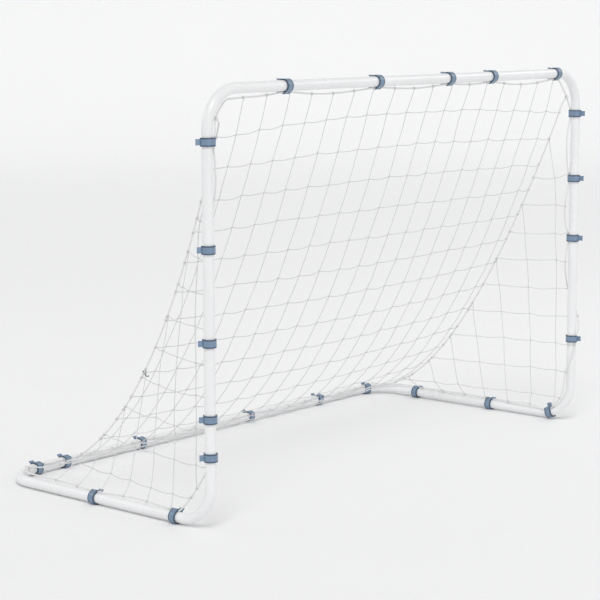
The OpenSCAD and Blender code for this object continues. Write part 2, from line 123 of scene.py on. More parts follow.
POST_LEFT = Bar((-HALF_W, 0, BASE_Z), Z, TOP_Z - BASE_Z, X, Y, Y, X)
POST_RIGHT = Bar((HALF_W, 0, BASE_Z), Z, TOP_Z - BASE_Z, X, Y, Y, -X)
CROSSBAR = Bar((-HALF_W, 0, TOP_Z), X, 2 * HALF_W, Y, Z, -Z, -Z)
SIDE_LEFT = Bar((-HALF_W, 0, BASE_Z), Y, DEPTH, -X, Z, Z, X)
SIDE_RIGHT = Bar((HALF_W, 0, BASE_Z), Y, DEPTH, -X, Z, Z, -X)
REAR_BAR = Bar((-HALF_W, DEPTH, BASE_Z), X, 2 * HALF_W, Y, Z, -Y, -Y)

# The border cord's stops along each bar: share of the straight run, angle of the cord round
# the bar, and its stand-off in millimetres. A fourth number makes the stop a clip, and is
# the angle of the clip's mouth.
POST_LEFT_STOPS = [
    (0.08, 36, 0, 116), (0.135, 40, 4), (0.19, 36, 0, 116), (0.30, 40, 7),
    (0.408, 36, 0, 116), (0.54, 40, 9), (0.672, 36, 0, 116), (0.76, 16, 7),
    (0.86, -10, 9), (0.972, -50, 0, 116), (1.0, -36, 4), (1.05, -12, 5), (1.11, -8, 5),
]
CROSSBAR_STOPS = [
    (-0.028, -88, 6), (0.02, -92, 9), (0.075, -92, 6), (0.13, -90, 0, 0), (0.20, -92, 8),
    (0.26, -90, 10), (0.33, -90, 5), (0.388, -90, 0, 0), (0.45, -92, 5), (0.52, -90, 7),
    (0.612, -90, 0, 0), (0.68, -92, 4), (0.756, -90, 0, 0), (0.82, -90, 9), (0.88, -92, 12),
    (0.94, -90, 7), (0.99, -90, 0, 0),
]
POST_RIGHT_STOPS = [
    (-0.10, 138, 7), (-0.05, 146, 9), (0.0, 155, 10), (0.05, 170, 9), (0.09, 200, 7),
    (0.125, 235, 4), (0.169, 260, 0, -35), (0.20, 290, 5), (0.25, 340, 7), (0.30, 30, 7),
    (0.36, 80, 6), (0.43, 140, 9), (0.48, 150, 8), (0.532, 130, 0, -35), (0.58, 150, 12),
    (0.64, 155, 18), (0.70, 150, 8), (0.745, 130, 0, -35), (0.79, 150, 9), (0.86, 160, 17),
    (0.92, 150, 9), (0.974, 130, 0, -35),
]
SIDE_LEFT_STOPS = [
    (0.038, 90, 0, 180), (0.16, 92, 3), (0.30, 98, 6), (0.43, 94, 3),
    (0.55, 90, 0, 180), (0.70, 96, 4), (0.85, 104, 6), (0.96, 112, 6), (1.06, 120, 7),
]
SIDE_RIGHT_STOPS = [
    (-0.051, 45, 0, 135), (0.02, 52, 9), (0.10, 60, 12), (0.18, 58, 8), (0.27, 75, 3),
    (0.352, 90, 0, 180), (0.48, 80, 4), (0.62, 66, 6), (0.75, 78, 3),
    (0.867, 90, 0, 180), (0.93, 70, 6), (1.02, 50, 8),
]
REAR_BAR_STOPS = [
    (0.01, 140, 0, 0), (0.045, 146, 3), (0.083, 140, 0, 0), (0.15, 152, 5), (0.22, 150, 6),
    (0.291, 140, 0, 0), (0.37, 154, 6), (0.46, 150, 8), (0.54, 152, 5), (0.623, 140, 0, 0),
    (0.70, 152, 7), (0.78, 150, 5), (0.858, 140, 0, 0), (0.91, 152, 5), (0.97, 146, 5),
    (1.029, 140, 0, 0),
]
CLIPPED = {
    "clips_crossbar": (CROSSBAR, CROSSBAR_STOPS),
    "clips_post_left": (POST_LEFT, POST_LEFT_STOPS),
    "clips_post_right": (POST_RIGHT, POST_RIGHT_STOPS),
    "clips_side_left": (SIDE_LEFT, SIDE_LEFT_STOPS),
    "clips_side_right": (SIDE_RIGHT, SIDE_RIGHT_STOPS),
    "clips_rear_bar": (REAR_BAR, REAR_BAR_STOPS),
}


def is_clip(stop):
    """A stop with a fourth number is a clip."""
    return len(stop) == 4


def clip_spots(node):
    """(place on the bar's line, direction of the bar) of each clip in a node."""
    bar, stops = CLIPPED[node]
    spots = [bar.spot(s[0]) for s in stops if is_clip(s)]
    return [(place, along) for place, _, _, along in spots]


# ---- Settings ----

class GoalCords(bpy.types.PropertyGroup):
    """Sizes of the border cord and of the two seam cords"""

    border: FloatProperty(name="Border cord", description="Diameter of the border cord",
                          default=0.005, min=0.003, max=0.008, unit="LENGTH")
    seam: FloatProperty(name="Seam cord", description="Diameter of the seam cords",
                        default=0.0045, min=0.003, max=0.008, unit="LENGTH")
    inset: FloatProperty(name="Seam inset", unit="LENGTH", default=0.104,
                         description="How far the seams are pulled in at mid height")
    sag: FloatProperty(name="Seam sag", description="Exponent of the seams' curve",
                       default=2.1, min=1.5, max=3)
    spacing: FloatProperty(name="Ring spacing", unit="LENGTH", default=0.004,
                           description="Distance between the rings of a cord")


class GoalNet(bpy.types.PropertyGroup):
    """Sizes of the net"""

    pitch: FloatProperty(name="Mesh size", description="Side of one square of the net",
                         default=0.098, min=0.05, max=0.15, unit="LENGTH")
    twine: FloatProperty(name="Twine", description="Diameter of the twine",
                         default=0.0024, min=0.0015, max=0.004, unit="LENGTH")
    first_row: FloatProperty(name="First row", unit="LENGTH", default=0.040,
                             description="From the seam's top to the back net's first row")
    sag: FloatProperty(name="Sag", description="How far the middle of the back net hangs",
                       default=0.026, min=0, max=0.06, unit="LENGTH")
    droop: FloatProperty(name="Droop", description="How far a twine droops between knots",
                         default=0.004, min=0, max=0.01, unit="LENGTH")
    unevenness: FloatProperty(name="Unevenness", unit="LENGTH", default=0.0035,
                              description="How far a knot lies from its even place")
    sides: IntProperty(name="Twine sides", description="Sides of a twine's ring",
                       default=6, min=4, max=12)


class GoalFinishes(bpy.types.PropertyGroup):
    """Colours of the goal's finishes"""

    frame: FloatVectorProperty(name="Powder coat", description="Colour of the tubes",
                               subtype="COLOR", default=(0.87, 0.875, 0.88))
    clip: FloatVectorProperty(name="Clips", description="Colour of the net clips",
                              subtype="COLOR", default=(0.20, 0.29, 0.41))
    # Painted shade: the dark colour laid on both ends of each clip's band
    rim_shade: FloatVectorProperty(name="Clip rim shade", description="Colour of the shade painted on the clips' rims",
                             subtype="COLOR", default=(0.035, 0.07, 0.12))
    net: FloatVectorProperty(name="Net", description="Colour of the twine",
                             subtype="COLOR", default=(0.82, 0.825, 0.83))
    cord: FloatVectorProperty(name="Cords", description="Colour of the cords",
                              subtype="COLOR", default=(0.92, 0.92, 0.915))
    button: FloatVectorProperty(name="Buttons", description="Colour of the snap buttons",
                                subtype="COLOR", default=(0.78, 0.79, 0.80))
    spring: FloatVectorProperty(name="Springs", description="Colour of the leaf springs",
                                subtype="COLOR", default=(0.50, 0.51, 0.53))
    hook: FloatVectorProperty(name="S-hook", description="Colour of the S-hook",
                              subtype="COLOR", default=(0.10, 0.105, 0.115))


class GoalStage(bpy.types.PropertyGroup):
    """Camera, floor and lights"""

    floor: FloatVectorProperty(name="Floor", description="Colour of the floor",
                               subtype="COLOR", default=(0.93, 0.932, 0.935))
    place: FloatVectorProperty(name="Camera", description="Place of the camera",
                               subtype="XYZ", unit="LENGTH",
                               default=(-4.580, -3.456, 1.418))
    heading: FloatProperty(name="Heading", description="Turn of the view from +Y to +X",
                           default=math.radians(49.42), subtype="ANGLE")
    tilt: FloatProperty(name="Tilt", description="How far the view looks down",
                        default=math.radians(8.62), subtype="ANGLE")
    roll: FloatProperty(name="Roll", description="Turn of the view about its own line",
                        default=math.radians(-0.25), subtype="ANGLE")
    lens: FloatProperty(name="Lens", description="Focal length in millimetres",
                        default=110.7, min=20, max=300)
    sky: FloatProperty(name="Sky", description="Brightness of the even light",
                       default=0.61, min=0, max=5)
    key: FloatProperty(name="Key light", description="Strength of the directed soft light",
                       default=1.0, min=0, max=20)
    boxes: FloatProperty(name="Softboxes", description="Power of each softbox in watts",
                         default=22, min=0, max=2000)
    softness: FloatProperty(name="Softness", description="How wide the key light is",
                            default=math.radians(24), subtype="ANGLE")


# ---- Materials ----

class Value:
    """A socket's output, which answers to Python's arithmetic with Math nodes."""

    def __init__(self, finish, socket):
        self.finish = finish
        self.socket = socket

    def maths(self, operation, *values):
        return self.finish.node("Math", {"operation": operation}, dict(enumerate(values)))

    def __add__(self, other):
        return self.maths("ADD", self, other)

    def __radd__(self, other):
        return self.maths("ADD", other, self)

    def __sub__(self, other):
        return self.maths("SUBTRACT", self, other)

    def __rsub__(self, other):
        return self.maths("SUBTRACT", other, self)

    def __mul__(self, other):
        return self.maths("MULTIPLY", self, other)

    def __rmul__(self, other):
        return self.maths("MULTIPLY", other, self)

    def __abs__(self):
        return self.maths("ABSOLUTE", self)

    def sine(self):
        return self.maths("SINE", self)

    def least(self, other):
        return self.maths("MINIMUM", self, other)

    def ramp(self, low, high):
        """0 up to low, 1 from high, and smooth between."""
        return self.finish.node("MapRange", {"interpolation_type": "SMOOTHSTEP"},
                                {"Value": self, "From Min": low, "From Max": high})


class Finish:
    """A material around one shader, and the ways to add nodes to it."""

    def __init__(self, name, **uniform):
        self.material = bpy.data.materials.new(name)
        self.material.use_nodes = True
        self.tree = self.material.node_tree
        self.shader = self.tree.nodes["Principled BSDF"]
        for key, value in uniform.items():
            self.shader.inputs[key.replace("_", " ")].default_value = value

    def node(self, kind, settings=None, inputs=None, output=0):
        made = self.tree.nodes.new("ShaderNode" + kind)
        for key, value in (settings or {}).items():
            setattr(made, key, value)
        for key, value in (inputs or {}).items():
            self.feed(made.inputs[key], value)
        return Value(self, made.outputs[output])

    def feed(self, socket, value):
        if isinstance(value, Value):
            self.tree.links.new(value.socket, socket)
        else:
            socket.default_value = value

    def place(self):
        """Object coordinates."""
        return self.node("TexCoord", output="Object")

    def lengthways(self):
        """(metres along, turns round) of a tube's own map."""
        uv = self.node("UVMap", {"uv_map": "along"})
        split = self.node("SeparateXYZ", inputs={0: uv}).socket.node
        return Value(self, split.outputs["X"]), Value(self, split.outputs["Y"])

    def axis(self, vector, name):
        split = self.node("SeparateXYZ", inputs={0: vector}).socket.node
        return Value(self, split.outputs[name])

    def vector(self, operation, a, b):
        output = "Value" if operation in ("DOT_PRODUCT", "LENGTH", "DISTANCE") else 0
        return self.node("VectorMath", {"operation": operation}, {0: a, 1: b}, output)

    def noise(self, place, scale, detail=2.0, roughness=0.5):
        return self.node("TexNoise", inputs={
            "Vector": place, "Scale": scale, "Detail": detail, "Roughness": roughness})

    def mix(self, factor, a, b):
        """Colour a where factor is 0, and b where it is 1."""
        made = self.node("Mix", {"data_type": "RGBA"}, {0: factor}).socket.node
        self.feed(made.inputs[6], (*a, 1) if not isinstance(a, Value) else a)
        self.feed(made.inputs[7], (*b, 1) if not isinstance(b, Value) else b)
        return Value(self, made.outputs[2])

    def bump(self, height, distance, strength=1.0):
        return self.node("Bump", inputs={
            "Height": height, "Distance": distance, "Strength": strength})

    def paint(self, **inputs):
        for key, value in inputs.items():
            self.feed(self.shader.inputs[key.replace("_", " ")], value)
        return self.material


def darker(colour, share):
    """A colour at that share of its brightness."""
    return tuple(c * share for c in colour)


def powder_coat(colour):
    """Smooth white powder coat with a fine orange peel, and light scuffs near the ground."""
    coat = Finish("white powder coat", Coat_Weight=0.3, Coat_Roughness=0.15, IOR=1.5)
    place = coat.place()
    height = coat.axis(place, "Z")
    cloud = coat.noise(place, 7, 4)
    peel = coat.noise(place, 420, 2)
    speck = coat.noise(place, 1500, 1)
    scuffs = coat.noise(coat.vector("MULTIPLY", place, (60, 60, 240)), 1, 5, 0.7)
    worn = scuffs.ramp(0.60, 0.72) * (1 - height.ramp(0.0, 0.16)) * 0.35
    tone = coat.mix(cloud.ramp(0.35, 0.75), colour, darker(colour, 0.965))
    return coat.paint(
        Base_Color=coat.mix(worn, tone, (0.52, 0.51, 0.49)),
        Roughness=0.24 + cloud * 0.08 + worn * 0.4,
        Normal=coat.bump(peel * 0.8 + speck * 0.2, 0.00035, 0.35),
    )


def clip_plastic(colour, rim_shade, spots, name):
    """Satin moulded plastic, with painted shade that darkens the rims at both ends of each band,
    and fine moulded lines round it."""
    skin = Finish(name, Coat_Weight=0.25, Coat_Roughness=0.2)
    place = skin.place()
    off = None
    for spot, along in spots:
        away = skin.vector("SUBTRACT", place, tuple(spot))
        here = abs(skin.vector("DOT_PRODUCT", away, tuple(along)))
        off = here if off is None else off.least(here)
    # Painted shade: this mask darkens each band towards its two ends
    rim_shade_mask = off.ramp(CLIP_W / 2 - 0.0044, CLIP_W / 2 - 0.0030)
    lines = (off * (2 * math.pi / 0.0031)).sine()
    grain = skin.noise(place, 260, 3)
    shade = skin.mix(lines.ramp(0.2, 1.0) * 0.35, colour, darker(colour, 0.72))
    tone = skin.mix(grain.ramp(0.3, 0.8) * 0.25, shade, darker(colour, 1.25))
    return skin.paint(
        # The base colour takes the painted rim shade at both ends of each band
        Base_Color=skin.mix(rim_shade_mask * 0.85, tone, rim_shade),
        Metallic=0.35,
        Roughness=0.30 + grain * 0.12,
        Normal=skin.bump(lines * 0.7 + grain * 0.3, 0.00025, 0.5),
    )


def twisted_twine(colour, diameter):
    """Twisted polyester twine: slanting strands with a soft sheen."""
    twine = Finish("net twine", Sheen_Weight=0.25, Sheen_Roughness=0.4)
    along, turns = twine.lengthways()
    lay = along * (2 * math.pi / (3.2 * diameter)) + turns * (2 * math.pi * 3)
    strands = lay.sine()
    fuzz = twine.noise(twine.place(), 900, 2)
    tone = twine.mix(strands.ramp(-1.0, 0.3), darker(colour, 0.78), colour)
    return twine.paint(
        Base_Color=twine.mix(fuzz.ramp(0.4, 0.8) * 0.3, tone, darker(colour, 0.9)),
        Roughness=0.62 + fuzz * 0.2,
        Normal=twine.bump(strands * 0.8 + fuzz * 0.2, diameter * 0.16, 0.8),
    )


def braided_cord(colour, diameter):
    """Braided cord: two sets of strands that cross on a slant."""
    cord = Finish("braided cord", Sheen_Weight=0.2, Sheen_Roughness=0.4)
    along, turns = cord.lengthways()
    lay = along * (2 * math.pi / (1.5 * diameter))
    left = (lay + turns * (2 * math.pi * 4)).sine()
    right = (lay - turns * (2 * math.pi * 4)).sine()
    plait = left * right
    fuzz = cord.noise(cord.place(), 800, 2)
    tone = cord.mix(plait.ramp(-0.9, 0.25), darker(colour, 0.80), colour)
    return cord.paint(
        Base_Color=cord.mix(fuzz.ramp(0.4, 0.8) * 0.25, tone, darker(colour, 0.92)),
        Roughness=0.58 + fuzz * 0.2,
        Normal=cord.bump(plait * 0.8 + fuzz * 0.2, diameter * 0.12, 0.8),
    )


def plated_steel(colour):
    """Bright nickel plating with faint tool marks."""
    steel = Finish("plated steel", Metallic=1.0)
    place = steel.place()
    marks = steel.noise(steel.vector("MULTIPLY", place, (900, 900, 2600)), 1, 3)
    cloud = steel.noise(place, 90, 3)
    return steel.paint(
        Base_Color=steel.mix(cloud.ramp(0.35, 0.75), colour, darker(colour, 0.86)),
        Roughness=0.14 + marks * 0.12 + cloud * 0.08,
        Normal=steel.bump(marks, 0.00005, 0.4),
    )


def spring_strip(colour):
    """Tempered spring strip: rolled lines and a faint blue and straw tint."""
    strip = Finish("spring steel", Metallic=1.0)
    place = strip.place()
    rolled = strip.noise(strip.vector("MULTIPLY", place, (300, 300, 5200)), 1, 3)
    tint = strip.noise(place, 40, 2)
    straw = (colour[0] * 1.05, colour[1] * 0.95, colour[2] * 0.8)
    return strip.paint(
        Base_Color=strip.mix(tint.ramp(0.4, 0.7), colour, straw),
        Roughness=0.28 + rolled * 0.2,
        Normal=strip.bump(rolled, 0.00005, 0.5),
    )


def coated_wire(colour):
    """Dark dipped coating on wire, worn a little lighter in patches."""
    wire = Finish("coated wire", Coat_Weight=0.2, Coat_Roughness=0.25)
    place = wire.place()
    patches = wire.noise(place, 260, 4)
    pits = wire.noise(place, 1200, 2)
    return wire.paint(
        Base_Color=wire.mix(patches.ramp(0.5, 0.7) * 0.5, colour, darker(colour, 2.2)),
        Roughness=0.32 + patches * 0.18,
        Normal=wire.bump(pits, 0.0001, 0.5),
    )


def studio_paper(colour):
    """Plain matt paper with a very faint mottle."""
    paper = Finish("studio paper")
    mottle = paper.noise(paper.place(), 1.5, 2)
    return paper.paint(
        Base_Color=paper.mix(mottle, colour, darker(colour, 0.99)),
        Roughness=0.75 + mottle * 0.1,
    )


def coat_node(node, material):
    """Gives a CAD node a finish."""
    slots = frame["nodes"][node].material_slots
    if not slots:
        raise RuntimeError(f"{node} has no material slot to paint")
    for slot in slots:
        slot.material = material


# ---- Lines and tubes ----

def unit(v):
    return v / np.linalg.norm(v)


def smooth(points, spacing, closed):
    """Points about spacing apart on a smooth curve through points."""
    points = [np.array(p, float) for p in points]
    count = len(points)
    made = []
    for i in range(count if closed else count - 1):
        if closed:
            before, a, b, after = (points[(i + k) % count] for k in (-1, 0, 1, 2))
        else:
            before, a, b, after = (points[min(max(i + k, 0), count - 1)] for k in (-1, 0, 1, 2))
        gaps = [max(np.linalg.norm(q - p), 1e-9) ** 0.5 for p, q in
                ((before, a), (a, b), (b, after))]
        if not closed and i == 0:
            gaps[0] = gaps[1]
            before = 2 * a - b
        if not closed and i == count - 2:
            gaps[2] = gaps[1]
            after = 2 * b - a
        t0, t1, t2, t3 = np.cumsum([0.0] + gaps)
        steps = max(1, math.ceil(np.linalg.norm(b - a) / spacing))
        for t in np.linspace(t1, t2, steps, endpoint=False):
            a1 = ((t1 - t) * before + (t - t0) * a) / (t1 - t0)
            a2 = ((t2 - t) * a + (t - t1) * b) / (t2 - t1)
            a3 = ((t3 - t) * b + (t - t2) * after) / (t3 - t2)
            b1 = ((t2 - t) * a1 + (t - t0) * a2) / (t2 - t0)
            b2 = ((t3 - t) * a2 + (t - t1) * a3) / (t3 - t1)
            made.append(((t2 - t) * b1 + (t - t1) * b2) / (t2 - t1))
    return np.array(made if closed else made + [points[-1]])


class Weaver:
    """Collects tubes and knots, and makes one mesh of them."""

    def __init__(self):
        self.points = []
        self.faces = []
        self.maps = []
        self.count = 0

    def add(self, points, faces, maps):
        self.points.append(points)
        self.faces += [[self.count + k for k in face] for face in faces]
        self.maps += maps
        self.count += len(points)

    def tube(self, line, radius, sides, closed=False):
        """A round tube along a line of points, mapped in metres along and turns round."""
        line = np.array(line, float)
        rings = len(line)
        ahead = np.roll(line, -1, 0) if closed else np.vstack([line[1:], line[-1:]])
        behind = np.roll(line, 1, 0) if closed else np.vstack([line[:1], line[:-1]])
        tangents = ahead - behind
        tangents /= np.linalg.norm(tangents, axis=1)[:, None]
        upright = np.array(X if abs(tangents[0][2]) > 0.9 else Z)
        side = unit(np.cross(tangents[0], upright))
        turns = np.arange(sides) / sides * 2 * math.pi
        points = []
        for place, tangent in zip(line, tangents):
            side = unit(side - side.dot(tangent) * tangent)
            other = np.cross(tangent, side)
            points += [place + radius * (side * math.cos(a) + other * math.sin(a))
                       for a in turns]
        gone = np.concatenate([[0], np.cumsum(np.linalg.norm(np.diff(line, axis=0), axis=1))])
        shift = 0
        if closed:
            first = unit(np.cross(tangents[0], upright))
            first = unit(first - first.dot(tangents[0]) * tangents[0])
            home = unit(side - side.dot(tangents[0]) * tangents[0])
            angle = math.atan2(home.dot(np.cross(tangents[0], first)), home.dot(first))
            shift = round(angle / (2 * math.pi) * sides)
            gone = np.append(gone, gone[-1] + np.linalg.norm(line[0] - line[-1]))
        faces = []
        maps = []
        for i in range(rings if closed else rings - 1):
            j = (i + 1) % rings
            slip = shift if closed and i == rings - 1 else 0
            for k in range(sides):
                faces.append([i * sides + k, i * sides + (k + 1) % sides,
                              j * sides + (k + 1 + slip) % sides, j * sides + (k + slip) % sides])
                maps += [(gone[i], k / sides), (gone[i], (k + 1) / sides),
                         (gone[i + 1], (k + 1) / sides), (gone[i + 1], k / sides)]
        if not closed:
            faces.append(list(reversed(range(sides))))
            faces.append([(rings - 1) * sides + k for k in range(sides)])
            maps += [(0, 0)] * sides + [(gone[-1], 0)] * sides
        self.add(points, faces, maps)

    def copy(self, pattern, matrix):
        """A copy of a small mesh at a place."""
        points = [np.array(matrix @ v.co) for v in pattern.vertices]
        faces = [list(p.vertices) for p in pattern.polygons]
        maps = [(k * 0.0007, k * 0.1) for face in faces for k in range(len(face))]
        self.add(points, faces, maps)

    def mesh(self, name, material):
        """The object, with its faces turned outwards and shaded smooth."""
        data = bpy.data.meshes.new(name)
        data.from_pydata([tuple(p) for part in self.points for p in part], [], self.faces)
        layer = data.uv_layers.new(name="along")
        layer.data.foreach_set("uv", np.array(self.maps, np.float32).ravel())
        data.materials.append(material)
        piece = bpy.data.objects.new(name, data)
        bpy.context.scene.collection.objects.link(piece)
        select_only(piece)
        bpy.ops.object.mode_set(mode="EDIT")
        bpy.ops.mesh.select_all(action="SELECT")
        bpy.ops.mesh.normals_make_consistent(inside=False)
        bpy.ops.object.mode_set(mode="OBJECT")
        bpy.ops.object.shade_smooth_by_angle(angle=math.radians(60))
        return piece


def select_only(piece):
    """Makes a piece the only selected one, and the active one."""
    bpy.ops.object.select_all(action="DESELECT")
    piece.select_set(True)
    bpy.context.view_layer.objects.active = piece


def hitch(centre, tangent, towards, radius, turns, pitch):
    """Points of a twine that comes from towards and winds round a cord at centre."""
    centre, tangent, towards = (np.array(v, float) for v in (centre, tangent, towards))
    tangent = unit(tangent)
    facing = towards - centre
    facing = unit(facing - facing.dot(tangent) * tangent)
    beside = np.cross(tangent, facing)
    steps = max(8, round(turns * 10))
    made = []
    for k in range(steps + 1):
        angle = -math.pi / 2 - 2 * math.pi * turns * k / steps
        along = pitch * turns * (k / steps - 0.5)
        made.append(centre + tangent * along
                    + radius * (facing * math.cos(angle) + beside * math.sin(angle)))
    return made


def round_tube(a, b, centre, radius):
    """Points of the shortest way from a to b round an upright tube, between the two."""
    a, b, centre = (np.array(v, float) for v in (a, b, centre))
    p, q = (a - centre)[:2], (b - centre)[:2]
    gap = q - p
    share = np.clip(-p.dot(gap) / gap.dot(gap), 0, 1)
    if np.linalg.norm(p + share * gap) >= radius:
        return []
    starts, ends = (math.atan2(v[1], v[0]) for v in (p, q))
    reach_p = math.acos(min(1, radius / np.linalg.norm(p)))
    reach_q = math.acos(min(1, radius / np.linalg.norm(q)))
    turn = (ends - starts + math.pi) % (2 * math.pi) - math.pi
    way = 1 if turn > 0 else -1
    first = starts + way * reach_p
    last = starts + turn - way * reach_q
    steps = max(2, math.ceil(abs(last - first) / 0.35))
    return [np.array([*(centre[:2] + radius * np.array([math.cos(t), math.sin(t)])),
                      a[2] + (b[2] - a[2]) * (k + 1) / (steps + 2)])
            for k, t in enumerate(np.linspace(first, last, steps + 1))]


# ---- Cord routes ----

def settings():
    return bpy.context.scene.goal_cords, bpy.context.scene.goal_net


def stop_points(bar, stops):
    """Points of the border cord along one bar: two at a clip's ends, one elsewhere."""
    cords, _ = settings()
    line = TUBE_R + CORD_CLEAR + cords.border / 2
    made = []
    for share, angle, off, *mouth in stops:
        place, across, up, along = bar.spot(share)
        turn = math.radians(angle)
        point = place + (line + off / 1000) * (across * math.cos(turn) + up * math.sin(turn))
        end = along * (CLIP_W / 2 + 0.001)
        made += [point - end, point + end] if mouth else [point]
    return made


def border_route():
    """Points down the middle of the border cord, all the way round."""
    cords, _ = settings()
    points = (
        stop_points(POST_LEFT, POST_LEFT_STOPS)
        + stop_points(CROSSBAR, CROSSBAR_STOPS)
        + stop_points(POST_RIGHT, POST_RIGHT_STOPS)[::-1]
        + stop_points(SIDE_RIGHT, SIDE_RIGHT_STOPS)
        + stop_points(REAR_BAR, REAR_BAR_STOPS)[::-1]
        + stop_points(SIDE_LEFT, SIDE_LEFT_STOPS)[::-1]
    )
    return smooth(points, cords.spacing, True)


SEAM_TOP = TOP_Z - 0.098
SEAM_END = BASE_Z + TUBE_R + 0.008
SEAM_FRONT = 0.012
SEAM_BACK = DEPTH - 0.030
SEAM_IN = 0.060

# The back net's top edge hangs this far under the crossbar's line, and its middle rises
# from the seams to this share of that edge, fading as a power of the way down
HEM_DROP = 0.030
HEM_SHARE = 0.6
HEM_CURVE = 6
HEM_FORWARD = 0.002

# The side nets' first row over the ground, first column behind the posts, and the power
# with which they bow in towards their seams
SIDE_ROW = 0.085
SIDE_COLUMN = 0.062
SIDE_BOW = 1.5


def seam_z(v):
    cords, _ = settings()
    return SEAM_END + (SEAM_TOP - SEAM_END) * (1 - v) ** cords.sag


def seam_y(v):
    return SEAM_FRONT + (SEAM_BACK - SEAM_FRONT) * v


def seam_x(v):
    cords, _ = settings()
    return HALF_W - SEAM_IN - (cords.inset - SEAM_IN) * 4 * v * (1 - v)


def seam_point(side, v):
    return np.array([side * seam_x(v), seam_y(v), seam_z(v)])


def seam_share(measure, value):
    """The share v at which a falling or rising measure of the seam has that value."""
    low, high = 0.0, 1.0
    rising = measure(1.0) > measure(0.0)
    for _ in range(40):
        mid = (low + high) / 2
        if (measure(mid) < value) == rising:
            low = mid
        else:
            high = mid
    return (low + high) / 2


def seam_tangent(side, v):
    return unit(seam_point(side, min(1, v + 0.01)) - seam_point(side, max(0, v - 0.01)))


def nearest(route, point):
    """The place and the direction of a closed route where it comes nearest to a point."""
    i = int(np.argmin(np.linalg.norm(route - point, axis=1)))
    return route[i], unit(route[(i + 1) % len(route)] - route[i - 1])


def crossings(route, axis, value, keep):
    """Where a closed route passes a value on an axis, for the points that keep allows."""
    made = []
    for i, here in enumerate(route):
        ahead = route[(i + 1) % len(route)]
        if (here[axis] - value) * (ahead[axis] - value) <= 0 and keep(here):
            share = (value - here[axis]) / (ahead[axis] - here[axis] or 1)
            made.append((here + (ahead - here) * share, unit(ahead - here)))
    return made


def seam_line(side, route):
    """Points of a seam cord, with the turns that tie it to the border cord at both ends."""
    cords, _ = settings()
    steps = 90
    body = [seam_point(side, k / steps) for k in range(steps + 1)]
    wind = (cords.border + cords.seam) / 2
    ties = []
    for end in (body[0], body[-1]):
        centre, tangent = nearest(route, end)
        ties.append(hitch(centre, tangent, end, wind, 1.6, cords.seam * 1.08))
    return smooth(ties[0][::-1] + body[::3] + ties[1], cords.spacing * 0.6, False)


# ---- Net ----

def knot_pattern():
    """A small overhand knot: a thick ring wound round the crossing of two twines."""
    _, net = settings()
    bpy.ops.object.select_all(action="DESELECT")
    bpy.ops.mesh.primitive_torus_add(
        major_segments=9, minor_segments=5, major_radius=net.twine * 0.78,
        minor_radius=net.twine * 0.5)
    ring = bpy.context.object
    bpy.ops.object.mode_set(mode="EDIT")
    bpy.ops.mesh.select_all(action="SELECT")
    bpy.ops.transform.resize(value=(1.15, 0.9, 1.35))
    bpy.ops.object.mode_set(mode="OBJECT")
    pattern = ring.data
    bpy.data.objects.remove(ring)
    return pattern


class NetMaker:
    """Makes one net panel from a grid of knots, with seeded unevenness."""

    def __init__(self, seed):
        cords, net = settings()
        self.random = np.random.default_rng(seed)
        self.net = net
        self.weaver = Weaver()
        self.pattern = knot_pattern()
        self.on_border = (cords.border + net.twine) / 2
        self.on_seam = (cords.seam + net.twine) / 2

    def uneven(self, point, across, down):
        a, b = self.random.normal(0, self.net.unevenness / 2, 2)
        return np.array(point) + a * np.array(across) + b * np.array(down)

    def span(self, a, b):
        """Points from a to b, without b, that droop a little."""
        steps = max(3, round(np.linalg.norm(b - a) / 0.012))
        flat = np.linalg.norm((b - a)[:2]) / np.linalg.norm(b - a)
        droop = self.net.droop * flat * self.random.uniform(0.4, 1.5)
        beside = unit(np.cross(b - a, Z)) * self.random.normal(0, 0.0012)
        made = []
        for k in range(steps):
            share = k / steps
            belly = math.sin(math.pi * share)
            made.append(a + (b - a) * share - np.array(Z) * droop * belly + beside * belly)
        return made

    def twine(self, knots, start, end):
        """One twine through knots, from the turns at its start to those at its end."""
        line = list(start[::-1])
        places = [line.pop() if line else None, *knots, end[0] if end else None]
        places = [p for p in places if p is not None]
        for a, b in zip(places, places[1:]):
            line += self.span(a, b)
        line += end if end else [places[-1]]
        self.weaver.tube(line, self.net.twine / 2, self.net.sides)

    def tie(self, cord_place, tangent, knot, radius):
        return hitch(cord_place, tangent, knot, radius, 1.7, self.net.twine * 1.05)

    def knot(self, place, along):
        """A knot at a crossing, turned to its twines and a little at random."""
        turn = Vector(along).to_track_quat("Z", "Y").to_matrix().to_4x4()
        spin = Matrix.Rotation(self.random.uniform(0, math.pi), 4, "Z")
        tilt = Matrix.Rotation(self.random.uniform(-0.6, 0.6), 4, "X")
        self.weaver.copy(self.pattern, Matrix.Translation(Vector(place)) @ turn @ spin @ tilt)


def clear_of(value, clips):
    """A place on an axis, moved off any clip that it would run into."""
    keep_off = CLIP_W / 2 + 0.006
    for clip in clips:
        if abs(value - clip) < keep_off:
            return clip + math.copysign(keep_off, value - clip)
    return value


def clip_places(node, axis):
    return [place[axis] for place, _ in clip_spots(node)]


def back_point(x, v):
    """The back net's surface at a distance across and a share of the seams."""
    _, net = settings()
    middle_share = 1 - (x / seam_x(v)) ** 2
    lift = middle_share * (1 - v) ** HEM_CURVE
    z = seam_z(v) + (TOP_Z - HEM_DROP - SEAM_TOP) * lift * HEM_SHARE
    z -= net.sag * middle_share * math.sin(math.pi * v)
    return np.array([x, seam_y(v) + HEM_FORWARD * lift, max(z, SEAM_END - 0.006)])


def even_shares(first, pitch):
    """Shares v of the seam at even steps along its curve."""
    fine = np.linspace(0, 1, 2001)
    points = np.array([seam_point(0, v) for v in fine])
    points[:, 0] = 0
    gone = np.concatenate([[0], np.cumsum(np.linalg.norm(np.diff(points, axis=0), axis=1))])
    count = int((gone[-1] - first - pitch / 2) / pitch) + 1
    return [float(np.interp(first + pitch * k, gone, fine)) for k in range(count)]


